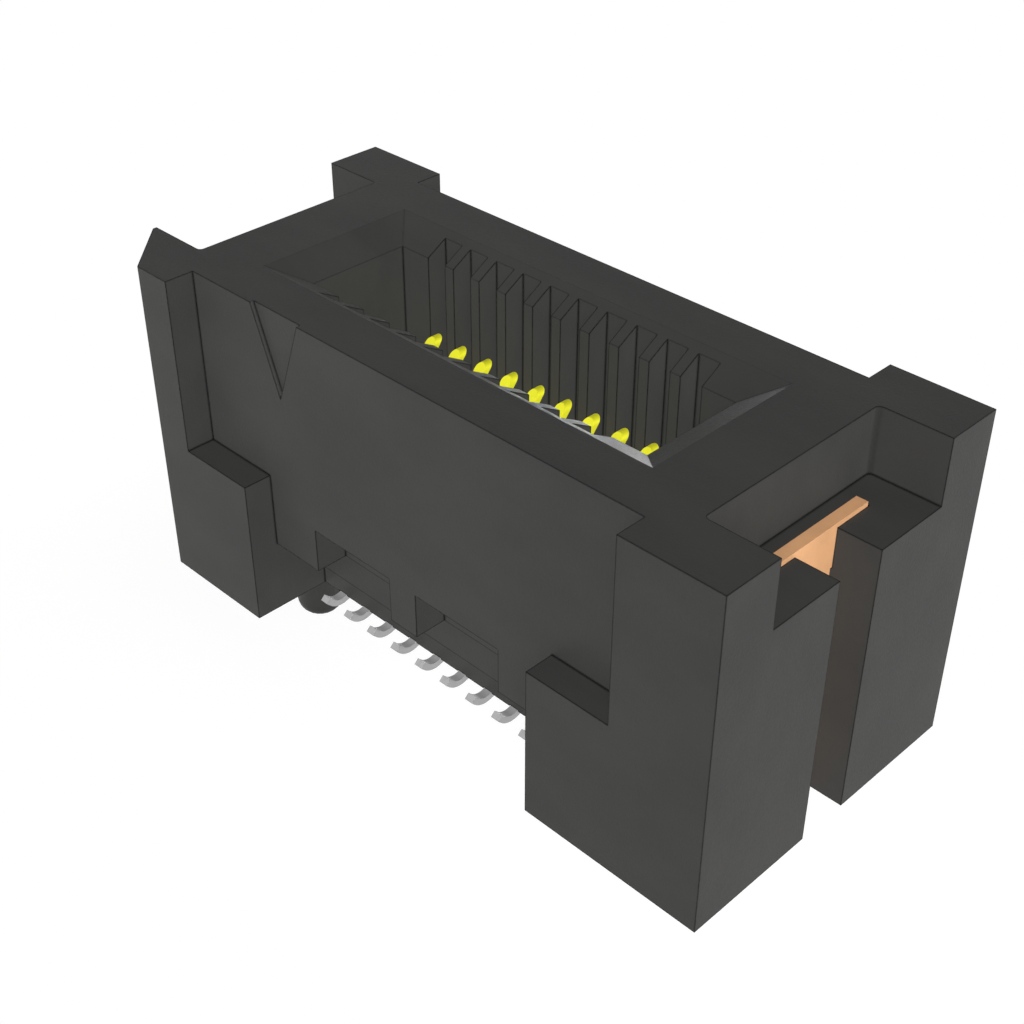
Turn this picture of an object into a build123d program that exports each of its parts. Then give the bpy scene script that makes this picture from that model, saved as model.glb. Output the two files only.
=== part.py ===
from build123d import *
from math import asin, atan2, cos, degrees, hypot, radians, sin, tan
import os

# Card edge socket for a printed circuit board, vertical, surface mounted.
# All sizes are in millimetres. X runs along the card slot, -Y is the side with
# the pin 1 mark, +Z points out of the board. The origin is the centre of the
# housing's underside. The board lies a little below it, at the solder tails.

# Contact rows
positions = 10
pitch = 0.80
strip_thickness = 0.155
fit_clearance = 0.02

# Card and card slot
card_thickness = 1.57
card_slot_width = 2.54
card_slot_floor = 2.50
slot_end_margin = 1.10
lead_in_width = 0.73
lead_in_depth = 0.415
groove_width = 0.53
groove_depth = 0.53

# Housing walls
side_wall = 1.395
side_wall_underside = 1.76
end_wall = 2.30
keel_wall = 0.25
shoulder_step = 0.25
shoulder_underside = 0.76
housing_height = 7.80

# Corner posts and end blocks
post_step = 0.70
post_length = 2.30
end_recess_length = 1.60
end_recess_depth = 1.49
end_recess_corner = 0.11
end_block_length = 4.35
end_block_height = 3.60
key_chamfer = 1.30

# Side pockets
pocket_length = 2.40
pocket_height = 1.09
pocket_depth = 0.785
pocket_centre = 1.60

# Pin 1 mark
mark_width = 1.50
mark_height = 2.00
mark_depth = 0.10

# Alignment pegs
peg_radius = 0.555
peg_length = 1.50
peg_tip_round = 0.375
peg_root_round = 0.10
peg_spacing = 10.26
peg_offset = 1.47

# Contact channels
channel_width = 0.38
channel_inner_wall = 0.55
stem_slot_width = 0.52
stem_slot_top = 2.10

# Contact stem and beam
stem_centre = 1.6025
stem_width = 0.46
stem_shoulder = 0.42
stem_taper = 0.12
foot_bend = 0.30
root_height = 2.20
root_bend = 0.50
beam_root_width = 0.32
barb_levels = (0.85, 1.45)
barb_height = 0.22
barb_crest = 0.05

# Contact tip
tip_width = 0.28
tip_depth = 2.21
tip_lean = 40
tip_tuck = 0.10
bump_bend = 0.30
contact_deflection = 0.165

# Solder tail
tail_width = 0.22
tail_drop = 0.17
tail_curl = 0.41
tail_curl_out = 0.135
tail_rise = 17
tail_kick = 46
tail_end_length = 0.12

# Weld tabs
tab_thickness = 0.26
tab_inset = 0.35
tab_slot_width = 1.26
tab_bar_length = 3.20
tab_bar_height = 1.00
tab_bar_proud = 0.08
tab_foot_chamfer = 0.20
tab_barb_level = 2.60
tab_barb_height = 0.40

# Places along X
row_half_length = (positions - 1) * pitch / 2
slot_half_length = row_half_length + slot_end_margin
end_wall_x = slot_half_length + end_wall
housing_half_length = end_wall_x + end_recess_length
post_inner_x = housing_half_length - post_length
block_inner_x = housing_half_length - end_block_length
peg_x = peg_spacing / 2
tab_back_x = end_wall_x + tab_inset
contact_places = [pitch * n - row_half_length for n in range(positions)]

# Places along Y, from the middle of the card slot outwards
slot_half_width = card_slot_width / 2
groove_back = slot_half_width + groove_depth
wall_outer = groove_back + side_wall
post_outer = wall_outer + post_step
recess_half_width = post_outer - side_wall
stem_slot_outer = stem_centre + strip_thickness / 2 + fit_clearance
stem_slot_depth = strip_thickness + 2 * fit_clearance
keel_outer = stem_slot_outer + keel_wall
shoulder_outer = keel_outer + shoulder_step
pocket_y = wall_outer - pocket_depth / 2

# Levels
board_level = -tail_drop
lead_in_bottom = housing_height - lead_in_depth
recess_floor = housing_height - end_recess_depth
tip_top = housing_height - tip_depth
tab_top = recess_floor + tab_bar_proud
tab_bar_bottom = tab_top - tab_bar_height


def bend_corner(centre, radius, first, last):
    """Where the straight runs on both sides of a bend would meet."""
    middle = radians((first + last) / 2)
    reach = radius / cos(radians(last - first) / 2)
    return centre[0] + reach * cos(middle), centre[1] + reach * sin(middle)


# Corners of a contact's middle line, as (y, z) on the +Y side.
# The tail curls down to the board and up again, outside the keel.
curl_centre = (keel_outer + tail_curl_out, board_level + strip_thickness / 2 + tail_curl)
tail_corner = bend_corner(curl_centre, tail_curl, -90 - tail_rise, -90 + tail_kick)
tail_run = tail_end_length + tail_curl * tan(radians(tail_rise + tail_kick) / 2)
tail_end = (
    tail_corner[0] + tail_run * cos(radians(tail_kick)),
    tail_corner[1] + tail_run * sin(radians(tail_kick)),
)
foot_corner = (
    stem_centre,
    tail_corner[1] + (tail_corner[0] - stem_centre) * tan(radians(tail_rise)),
)
root_corner = (stem_centre, root_height)

# The bump that meets the card is a round bend between the beam and the leaning tip
tip_middle = (slot_half_width - tip_tuck - strip_thickness / 2, tip_top - tip_width / 2)
bump_y = card_thickness / 2 - contact_deflection + strip_thickness / 2 + bump_bend
tip_drop = bump_bend + (tip_middle[0] - bump_y) * cos(radians(tip_lean))
bump_centre = (bump_y, tip_middle[1] - tip_drop / sin(radians(tip_lean)))
beam_run = (root_corner[0] - bump_centre[0], bump_centre[1] - root_corner[1])
beam_lean = degrees(atan2(*beam_run) + asin(bump_bend / hypot(*beam_run)))
bump_corner = bend_corner(bump_centre, bump_bend, 180 - tip_lean, 180 + beam_lean)
strip_end_level = tip_top + strip_thickness
strip_end = (
    bump_corner[0] + (strip_end_level - bump_corner[1]) * tan(radians(tip_lean)),
    strip_end_level,
)

lower_corners = (tail_end, tail_corner, foot_corner, root_corner)
lower_bends = (tail_curl, foot_bend)
strip_corners = lower_corners + (bump_corner, strip_end)
strip_bends = lower_bends + (root_bend, bump_bend)


# Housing, one moulding with its alignment pegs
with BuildPart() as housing:
    # Stepped section of the side walls and the keel, over the whole length
    with BuildSketch(Plane.YZ):
        with BuildLine():
            Polyline(
                (0, 0),
                (keel_outer, 0),
                (keel_outer, shoulder_underside),
                (shoulder_outer, shoulder_underside),
                (shoulder_outer, side_wall_underside),
                (wall_outer, side_wall_underside),
                (wall_outer, housing_height),
                (0, housing_height),
                close=True,
            )
        make_face()
        mirror(about=Plane.YZ)
    extrude(amount=housing_half_length, both=True)

    # End blocks, with the corner posts standing on them
    with BuildSketch(Plane.XZ):
        with BuildLine():
            Polyline(
                (block_inner_x, 0),
                (housing_half_length, 0),
                (housing_half_length, housing_height),
                (post_inner_x, housing_height),
                (post_inner_x, end_block_height),
                (block_inner_x, end_block_height),
                close=True,
            )
        make_face()
        mirror(about=Plane.YZ)
    extrude(amount=post_outer, both=True)

    # The bevelled corner that keys the socket, by the pin 1 mark
    with BuildSketch():
        with BuildLine():
            Polyline(
                (-housing_half_length, -post_outer),
                (-housing_half_length + key_chamfer, -post_outer),
                (-housing_half_length, -post_outer + key_chamfer),
                close=True,
            )
        make_face()
    extrude(amount=housing_height, mode=Mode.SUBTRACT)

    # Recesses between the posts
    with BuildSketch(Plane.XY.offset(recess_floor)):
        with Locations((end_wall_x + end_recess_length / 2, 0)):
            Rectangle(end_recess_length, 2 * recess_half_width)
        fillet(vertices().group_by(Axis.X)[0], radius=end_recess_corner)
        mirror(about=Plane.YZ)
    extrude(amount=end_recess_depth, mode=Mode.SUBTRACT)

    # Card slot with a lead-in all round
    with BuildSketch(Plane.XY.offset(card_slot_floor)):
        Rectangle(2 * slot_half_length, card_slot_width)
    extrude(amount=housing_height - card_slot_floor, mode=Mode.SUBTRACT)
    with BuildSketch(Plane.XY.offset(lead_in_bottom)):
        Rectangle(2 * slot_half_length, card_slot_width)
    with BuildSketch(Plane.XY.offset(housing_height)):
        Rectangle(2 * slot_half_length, card_slot_width)
        offset(amount=lead_in_width, kind=Kind.INTERSECTION)
    loft(mode=Mode.SUBTRACT)

    # Grooves in both walls of the slot, one for each pair of contacts
    with BuildSketch(Plane.XY.offset(card_slot_floor)):
        with GridLocations(pitch, 0, positions, 1):
            Rectangle(groove_width, 2 * groove_back)
    extrude(amount=housing_height - card_slot_floor, mode=Mode.SUBTRACT)

    # Channels below the slot, through which the contacts go in from underneath
    with BuildSketch():
        with GridLocations(pitch, stem_slot_outer + channel_inner_wall, positions, 2):
            Rectangle(channel_width, stem_slot_outer - channel_inner_wall)
    extrude(amount=card_slot_floor, mode=Mode.SUBTRACT)

    # Slots across the channels that hold the stems
    with BuildSketch():
        with GridLocations(pitch, 2 * stem_centre, positions, 2):
            Rectangle(stem_slot_width, stem_slot_depth)
    extrude(amount=stem_slot_top, mode=Mode.SUBTRACT)

    # Notches under the keel's edge that let the solder tails out
    with BuildSketch(*[Plane.YZ.offset(x) for x in contact_places]):
        with BuildLine():
            FilletPolyline(lower_corners, radius=lower_bends)
        trace(line_width=stem_slot_depth)
        mirror(about=Plane.YZ)
    extrude(amount=tail_width / 2 + fit_clearance, both=True, mode=Mode.SUBTRACT)

    # Slots at both ends for the weld tabs
    with BuildSketch():
        with Locations(((tab_back_x + housing_half_length) / 2, 0)):
            Rectangle(housing_half_length - tab_back_x, tab_slot_width)
        mirror(about=Plane.YZ)
    extrude(amount=recess_floor, mode=Mode.SUBTRACT)
    with BuildSketch(Plane.XY.offset(tab_bar_bottom)):
        with Locations((tab_back_x, 0)):
            Rectangle(
                tab_thickness + fit_clearance,
                tab_bar_length + 2 * fit_clearance,
                align=(Align.MIN, Align.CENTER),
            )
        mirror(about=Plane.YZ)
    extrude(amount=recess_floor - tab_bar_bottom, mode=Mode.SUBTRACT)

    # Pockets in the lower edge of both side walls
    with BuildSketch(Plane.XY.offset(side_wall_underside)):
        with GridLocations(2 * pocket_centre, 2 * pocket_y, 2, 2):
            Rectangle(pocket_length, pocket_depth)
    extrude(amount=pocket_height, mode=Mode.SUBTRACT)

    # Pin 1 mark, a shallow triangle that is open at the top edge
    with BuildSketch(Plane.XZ.offset(wall_outer)):
        with BuildLine():
            Polyline(
                (contact_places[0], housing_height - mark_height),
                (contact_places[0] + mark_width / 2, housing_height),
                (contact_places[0] - mark_width / 2, housing_height),
                close=True,
            )
        make_face()
    extrude(amount=-mark_depth, mode=Mode.SUBTRACT)

    # Alignment pegs with a small fillet at the root and rounded tips
    with BuildSketch():
        with Locations((-peg_x, -peg_offset), (peg_x, -peg_offset)):
            Circle(peg_radius)
    extrude(amount=-peg_length)
    fillet(
        edges(Select.LAST).filter_by(GeomType.CIRCLE).group_by(Axis.Z)[-1],
        radius=peg_root_round,
    )
    fillet(faces().group_by(Axis.Z)[0].edges(), radius=peg_tip_round)

housing.part.label = "housing"


def make_contact(side):
    """Stamped and formed contact: solder tail, barbed stem, spring beam and tip."""
    with BuildPart() as contact:
        # Side view: the bent strip
        with BuildSketch(Plane.YZ):
            with BuildLine():
                FilletPolyline(
                    [(side * y, z) for y, z in strip_corners], radius=strip_bends
                )
            trace(line_width=strip_thickness)
        extrude(amount=stem_slot_width, both=True)

        # Front view: the stamped outline, half of it drawn and mirrored
        half_outline = [
            (0, board_level - strip_thickness),
            (tail_width / 2, board_level - strip_thickness),
            (tail_width / 2, stem_shoulder - stem_taper),
            (stem_width / 2, stem_shoulder),
        ]
        for level in barb_levels:
            half_outline += [
                (stem_width / 2, level),
                (stem_slot_width / 2, level),
                (stem_slot_width / 2, level + barb_crest),
                (stem_width / 2, level + barb_height),
            ]
        half_outline += [
            (stem_width / 2, stem_slot_top),
            (beam_root_width / 2, stem_slot_top),
            (beam_root_width / 2, root_height),
            (tip_width / 2, tip_middle[1]),
        ]
        with BuildSketch(Plane.XZ):
            with BuildLine():
                Polyline(*half_outline)
                CenterArc((0, tip_middle[1]), tip_width / 2, 0, 90)
                Line((0, tip_top), (0, board_level - strip_thickness))
            make_face()
            mirror(about=Plane.YZ)
        extrude(amount=post_outer, both=True, mode=Mode.INTERSECT)
    return contact


def make_weld_tab(end):
    """T-shaped sheet tab: bar in the end shelf, barbed stem down to the board."""
    stem_half = tab_slot_width / 2 - fit_clearance
    with BuildPart() as tab:
        with BuildSketch(Plane.YZ.offset(end * tab_back_x)):
            with BuildLine():
                Polyline(
                    (0, board_level),
                    (stem_half - tab_foot_chamfer, board_level),
                    (stem_half, board_level + tab_foot_chamfer),
                    (stem_half, tab_barb_level),
                    (tab_slot_width / 2, tab_barb_level),
                    (tab_slot_width / 2, tab_barb_level + barb_crest),
                    (stem_half, tab_barb_level + tab_barb_height),
                    (stem_half, tab_bar_bottom),
                    (tab_bar_length / 2, tab_bar_bottom),
                    (tab_bar_length / 2, tab_top),
                    (0, tab_top),
                    close=True,
                )
            make_face()
            mirror(about=Plane.YZ)
        extrude(amount=end * tab_thickness)
    return tab


os.makedirs("parts", exist_ok=True)
export_step(housing.part, "parts/housing.step")

for row, side in (("front", -1), ("rear", 1)):
    contact = make_contact(side)
    for number, x in enumerate(contact_places, start=1):
        with BuildPart() as placed:
            with Locations((x, 0, 0)):
                add(contact.part)
        placed.part.label = f"contact_{row}_{number:02d}"
        export_step(placed.part, f"parts/{placed.part.label}.step")

for place, end in (("left", -1), ("right", 1)):
    tab = make_weld_tab(end)
    tab.part.label = f"weld_tab_{place}"
    export_step(tab.part, f"parts/{tab.part.label}.step")
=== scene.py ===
import math
import bpy
from mathutils import Euler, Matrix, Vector


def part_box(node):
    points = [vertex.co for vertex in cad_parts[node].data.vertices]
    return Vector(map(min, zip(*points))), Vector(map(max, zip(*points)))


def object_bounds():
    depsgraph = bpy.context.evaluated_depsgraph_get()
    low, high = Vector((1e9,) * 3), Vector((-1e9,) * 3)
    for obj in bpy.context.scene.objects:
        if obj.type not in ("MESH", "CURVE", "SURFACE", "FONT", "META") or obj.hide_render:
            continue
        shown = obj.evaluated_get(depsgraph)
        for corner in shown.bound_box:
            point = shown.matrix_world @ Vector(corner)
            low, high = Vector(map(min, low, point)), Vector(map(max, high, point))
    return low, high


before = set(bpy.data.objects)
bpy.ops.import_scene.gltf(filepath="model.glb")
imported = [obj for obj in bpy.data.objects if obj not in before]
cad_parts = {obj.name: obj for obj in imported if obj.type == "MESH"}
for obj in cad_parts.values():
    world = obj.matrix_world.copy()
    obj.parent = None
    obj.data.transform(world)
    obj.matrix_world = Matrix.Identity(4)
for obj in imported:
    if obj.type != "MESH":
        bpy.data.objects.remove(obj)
cad_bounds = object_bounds()

# Lengths are in metres, as in the frame
MM = 0.001

WHITE = (1.0, 1.0, 1.0, 1.0)

# The photograph's viewpoint
CAMERA_PLACE = Vector((20.22, -20.21, 23.36)) * MM
CAMERA_TARGET = Vector((0.0, 0.0, 3.15)) * MM
FIELD_OF_VIEW = math.radians(35.0)
CLIP_START = 1 * MM
CLIP_END = 10.0

# Floor: how bright the lamps leave it in the open, and how far from the object its shadow
# fades into the white
FLOOR_SIZE = 2.0
FLOOR_COLOUR = (0.55, 0.55, 0.55, 1.0)
FLOOR_ROUGHNESS = 0.9
OPEN_FLOOR_LEVEL = 0.475
SHADOW_REACH = 5 * MM

# How strongly the white surrounding lights the object
WORLD_LEVEL = 0.04

# Lamps
LAMP_TARGET = Vector((0.0, 0.0, 3.0)) * MM
LAMP_DISTANCE = 110 * MM

# Linear colours
PLASTIC_DARK = (0.041, 0.041, 0.040)
PLASTIC_LIGHT = (0.046, 0.046, 0.044)
TIN = (0.31, 0.31, 0.31)
NICKEL = (0.55, 0.53, 0.47)
GOLD = (0.66, 0.65, 0.02)
COPPER_DARK = (0.68, 0.37, 0.18)
COPPER_LIGHT = (0.76, 0.41, 0.20)

# Where a noise value turns from the dark tone to the light one
TONE_START = 0.35
TONE_END = 0.65

# Where a plating ends and the next begins, from 0 at the floor to 1 at the tips
TIN_END = 0.30
NICKEL_START = 0.34
NICKEL_END = 0.72
GOLD_START = 0.75

# Painted shade in corners and painted dark lines along sharp edges: rays sent out per point, and
# how open a point is where the painted darkening is deepest and where it ends
PAINTED_SHADE_SAMPLES = 8
PAINTED_SHADE_CLOSED = 0.5
PAINTED_SHADE_OPEN = 1.0

# Levels read from the frame
FLOOR_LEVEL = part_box("housing")[0].z
TIP_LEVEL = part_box("contact_rear_01")[1].z


def new_material(name):
    """A material with an empty Principled shader, and its node tree."""
    material = bpy.data.materials.new(name)
    material.use_nodes = True
    tree = material.node_tree
    return material, tree, tree.nodes["Principled BSDF"]


def add_node(tree, kind, **settings):
    """A node of that kind. Settings that name an input set its value."""
    node = tree.nodes.new(kind)
    for name, value in settings.items():
        if name in node.inputs:
            node.inputs[name].default_value = value
        else:
            setattr(node, name, value)
    return node


def millimetres(tree, stretch=(1, 1, 1)):
    """Object coordinates in millimetres, stretched along an axis if asked."""
    place = add_node(tree, "ShaderNodeTexCoord")
    scale = add_node(tree, "ShaderNodeMapping")
    scale.inputs["Scale"].default_value = [s / MM for s in stretch]
    tree.links.new(place.outputs["Object"], scale.inputs["Vector"])
    return scale.outputs["Vector"]


def noise(tree, vector, per_mm, detail=4.0, roughness=0.55):
    """Noise with so many features per millimetre."""
    node = add_node(
        tree, "ShaderNodeTexNoise", Scale=per_mm, Detail=detail, Roughness=roughness
    )
    tree.links.new(vector, node.inputs["Vector"])
    return node.outputs["Fac"]


def remap(tree, value, low, high, start=0.3, end=0.7):
    """Maps a value from start..end to low..high. The defaults suit a noise value."""
    node = add_node(tree, "ShaderNodeMapRange")
    node.inputs["From Min"].default_value = start
    node.inputs["From Max"].default_value = end
    node.inputs["To Min"].default_value = low
    node.inputs["To Max"].default_value = high
    tree.links.new(value, node.inputs["Value"])
    return node.outputs["Result"]


def bump(tree, shader, height, distance_mm, strength):
    """Adds a height as fine relief on the shader's surface."""
    node = add_node(tree, "ShaderNodeBump", Strength=strength, Distance=distance_mm * MM)
    tree.links.new(height, node.inputs["Height"])
    tree.links.new(node.outputs["Normal"], shader.inputs["Normal"])


def colour_ramp(tree, value, stops):
    """A colour ramp over the value, from (place, linear colour) stops."""
    node = add_node(tree, "ShaderNodeValToRGB")
    ramp = node.color_ramp
    while len(ramp.elements) < len(stops):
        ramp.elements.new(0.5)
    for element, (place, colour) in zip(ramp.elements, stops):
        element.position = place
        element.color = (*colour, 1.0)
    tree.links.new(value, node.inputs["Fac"])
    return node.outputs["Color"]


def two_tones(tree, value, dark, light):
    """A colour that drifts between two tones with a noise value."""
    return colour_ramp(tree, value, [(TONE_START, dark), (TONE_END, light)])


def painted_corner_and_edge_shade(tree, reach_mm, deepest, inside=False):
    """A painted-shade factor: it falls from 1 to its deepest value in the part's corners, as
    painted shade, or inside out along its sharp edges, as painted dark lines."""
    node = add_node(
        tree,
        "ShaderNodeAmbientOcclusion",
        Distance=reach_mm * MM,
        inside=inside,
        only_local=True,
        samples=PAINTED_SHADE_SAMPLES,
    )
    return remap(tree, node.outputs["AO"], deepest, 1.0, PAINTED_SHADE_CLOSED, PAINTED_SHADE_OPEN)


def multiply(tree, colour, factor):
    """The colour, darkened by a factor."""
    node = add_node(tree, "ShaderNodeVectorMath", operation="SCALE")
    tree.links.new(colour, node.inputs[0])
    tree.links.new(factor, node.inputs["Scale"])
    return node.outputs["Vector"]


def moulded_plastic():
    """Black glass-filled plastic: spark-eroded grain, flow marks, painted corner shade and edge
    lines.
    """
    material, tree, shader = new_material("moulded_plastic")
    flow = noise(tree, millimetres(tree, stretch=(0.35, 1.0, 0.6)), per_mm=0.9, detail=3.0)
    tone = two_tones(tree, flow, PLASTIC_DARK, PLASTIC_LIGHT)
    # Painted shade darkens the corners, and painted dark lines darken the sharp edges
    tone = multiply(tree, tone, painted_corner_and_edge_shade(tree, reach_mm=0.06, deepest=0.15))
    tone = multiply(tree, tone, painted_corner_and_edge_shade(tree, reach_mm=0.035, deepest=0.20, inside=True))
    tree.links.new(tone, shader.inputs["Base Color"])
    grain = noise(tree, millimetres(tree), per_mm=18.0, detail=3.0)
    tree.links.new(remap(tree, grain, low=0.36, high=0.46), shader.inputs["Roughness"])
    shader.inputs["Specular IOR Level"].default_value = 0.03
    bump(tree, shader, grain, distance_mm=0.004, strength=0.9)
    return material


def contact_metal():
    """Bronze strip: matte tin tail, nickel beam and gold tip."""
    material, tree, shader = new_material("contact_metal")
    place = add_node(tree, "ShaderNodeTexCoord")
    split = add_node(tree, "ShaderNodeSeparateXYZ")
    tree.links.new(place.outputs["Object"], split.inputs["Vector"])
    height = remap(
        tree, split.outputs["Z"], low=0.0, high=1.0, start=FLOOR_LEVEL, end=TIP_LEVEL
    )
    stops = [(TIN_END, TIN), (NICKEL_START, NICKEL), (NICKEL_END, NICKEL), (GOLD_START, GOLD)]
    plating = colour_ramp(tree, height, stops)
    tree.links.new(plating, shader.inputs["Base Color"])
    shader.inputs["Metallic"].default_value = 0.35
    shader.inputs["Specular IOR Level"].default_value = 0.2
    grain = noise(tree, millimetres(tree, stretch=(1.0, 0.2, 0.2)), per_mm=30.0)
    tree.links.new(remap(tree, grain, low=0.62, high=0.76), shader.inputs["Roughness"])
    bump(tree, shader, grain, distance_mm=0.002, strength=0.4)
    return material


def copper_sheet():
    """Rolled copper alloy, with fine roll lines up the sheet."""
    material, tree, shader = new_material("copper_sheet")
    tarnish = noise(tree, millimetres(tree), per_mm=1.6)
    tone = two_tones(tree, tarnish, COPPER_DARK, COPPER_LIGHT)
    tree.links.new(tone, shader.inputs["Base Color"])
    shader.inputs["Metallic"].default_value = 0.4
    lines = noise(tree, millimetres(tree, stretch=(1.0, 1.0, 0.05)), per_mm=26.0)
    tree.links.new(remap(tree, lines, low=0.48, high=0.62), shader.inputs["Roughness"])
    bump(tree, shader, lines, distance_mm=0.002, strength=0.4)
    return material


def dress(names, material):
    """Gives the CAD nodes their material."""
    for name in names:
        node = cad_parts[name]
        node.data.materials.clear()
        node.data.materials.append(material)


def seen_directly(tree):
    """1 for camera, glossy and transmission rays, 0 for the light that falls on things."""
    path = add_node(tree, "ShaderNodeLightPath")
    total = path.outputs["Is Camera Ray"]
    for ray in ("Is Glossy Ray", "Is Transmission Ray"):
        either = add_node(tree, "ShaderNodeMath", operation="MAXIMUM")
        tree.links.new(total, either.inputs[0])
        tree.links.new(path.outputs[ray], either.inputs[1])
        total = either.outputs["Value"]
    return total


def white_glow(tree, level=1.0):
    """Plain white. At a level of 1 it is as bright as the background."""
    return add_node(tree, "ShaderNodeEmission", Strength=level).outputs["Emission"]


def blend_shaders(tree, share, first, second):
    """Mixes two shaders, all of the second where the share is 1."""
    mix = add_node(tree, "ShaderNodeMixShader")
    tree.links.new(share, mix.inputs["Fac"])
    tree.links.new(first, mix.inputs[1])
    tree.links.new(second, mix.inputs[2])
    return mix.outputs["Shader"]


def distance_from_box(tree, corner):
    """How far a point of the floor lies outside a box about the middle, in metres."""
    place = add_node(tree, "ShaderNodeTexCoord")
    size = add_node(tree, "ShaderNodeVectorMath", operation="ABSOLUTE")
    tree.links.new(place.outputs["Object"], size.inputs[0])
    outside = add_node(tree, "ShaderNodeVectorMath", operation="SUBTRACT")
    outside.inputs[1].default_value = (corner[0], corner[1], 0.0)
    tree.links.new(size.outputs["Vector"], outside.inputs[0])
    positive = add_node(tree, "ShaderNodeVectorMath", operation="MAXIMUM")
    tree.links.new(outside.outputs["Vector"], positive.inputs[0])
    gap = add_node(tree, "ShaderNodeVectorMath", operation="LENGTH")
    tree.links.new(positive.outputs["Vector"], gap.inputs[0])
    return gap.outputs["Value"]


def add_floor():
    """A pale floor at the object's lowest point. Seen directly it is white, with a soft shadow."""
    bpy.ops.mesh.primitive_plane_add(size=FLOOR_SIZE, location=(0, 0, FLOOR_LEVEL))
    floor = bpy.context.object
    floor.name = "floor"
    material, tree, shader = new_material("pale_floor")
    shader.inputs["Base Color"].default_value = FLOOR_COLOUR
    shader.inputs["Roughness"].default_value = FLOOR_ROUGHNESS
    shader.inputs["Specular IOR Level"].default_value = 0.0
    plain = shader.outputs["BSDF"]
    gap = distance_from_box(tree, cad_bounds[1])
    fade = remap(tree, gap, low=1.0, high=0.0, start=0.0, end=SHADOW_REACH)
    shaded = add_node(tree, "ShaderNodeAddShader")
    tree.links.new(plain, shaded.inputs[0])
    tree.links.new(white_glow(tree, 1.0 - OPEN_FLOOR_LEVEL), shaded.inputs[1])
    faded = blend_shaders(tree, fade, white_glow(tree), shaded.outputs["Shader"])
    look = blend_shaders(tree, seen_directly(tree), plain, faded)
    tree.links.new(look, tree.nodes["Material Output"].inputs["Surface"])
    floor.data.materials.append(material)


def add_softbox(name, azimuth, elevation, level, width_mm=60, shadow=True, gloss=True):
    """A soft square lamp, seen from the object at these angles. Azimuth 0 is straight ahead of
    the pin 1 side. A white surface that faces it renders about as bright as its level."""
    data = bpy.data.lights.new(name, "AREA")
    data.size = width_mm * MM
    data.energy = level * (math.pi * LAMP_DISTANCE) ** 2
    data.use_shadow = shadow
    # With this on, a shadowless lamp loses the part of its gloss that the object blocks
    data.cycles.use_multiple_importance_sampling = shadow
    lamp = bpy.data.objects.new(name, data)
    turn = Euler((math.radians(90 - elevation), 0, math.radians(azimuth)))
    lamp.rotation_euler = turn
    lamp.location = LAMP_TARGET + turn.to_matrix() @ Vector((0, 0, LAMP_DISTANCE))
    lamp.visible_camera = False
    lamp.visible_glossy = gloss
    bpy.context.scene.collection.objects.link(lamp)


def add_camera():
    """The photograph's own viewpoint."""
    data = bpy.data.cameras.new("camera")
    data.sensor_fit = "HORIZONTAL"
    data.angle = FIELD_OF_VIEW
    data.clip_start = CLIP_START
    data.clip_end = CLIP_END
    camera = bpy.data.objects.new("camera", data)
    camera.location = CAMERA_PLACE
    aim = CAMERA_TARGET - CAMERA_PLACE
    camera.rotation_euler = aim.to_track_quat("-Z", "Y").to_euler()
    bpy.context.scene.collection.objects.link(camera)
    bpy.context.scene.camera = camera


def set_world():
    """A white surrounding to look at, and a dim one to be lit by."""
    world = bpy.data.worlds.new("world")
    bpy.context.scene.world = world
    world.use_nodes = True
    tree = world.node_tree
    dim = tree.nodes["Background"]
    dim.inputs["Color"].default_value = WHITE
    dim.inputs["Strength"].default_value = WORLD_LEVEL
    white = add_node(tree, "ShaderNodeBackground", Color=WHITE, Strength=1.0)
    look = blend_shaders(
        tree, seen_directly(tree), dim.outputs["Background"], white.outputs["Background"]
    )
    tree.links.new(look, tree.nodes["World Output"].inputs["Surface"])


contacts = [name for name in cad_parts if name.startswith("contact_")]
tabs = [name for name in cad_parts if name.startswith("weld_tab_")]

dress(["housing"], moulded_plastic())
dress(contacts, contact_metal())
dress(tabs, copper_sheet())

add_floor()
set_world()
add_softbox("key_lamp", azimuth=45, elevation=22, level=0.18)
add_softbox("front_fill", azimuth=-25, elevation=16, level=1.09, shadow=False)
add_softbox("end_fill", azimuth=115, elevation=16, level=1.13, shadow=False)
add_softbox("top_fill", azimuth=45, elevation=78, level=0.14, shadow=False)
add_softbox("rear_fill", azimuth=225, elevation=-10, level=0.60, shadow=False, gloss=False)
add_softbox("back_lamp", azimuth=208, elevation=-17, level=0.21, width_mm=40, shadow=False)
add_camera()
bpy.context.scene.view_settings.view_transform = "Standard"
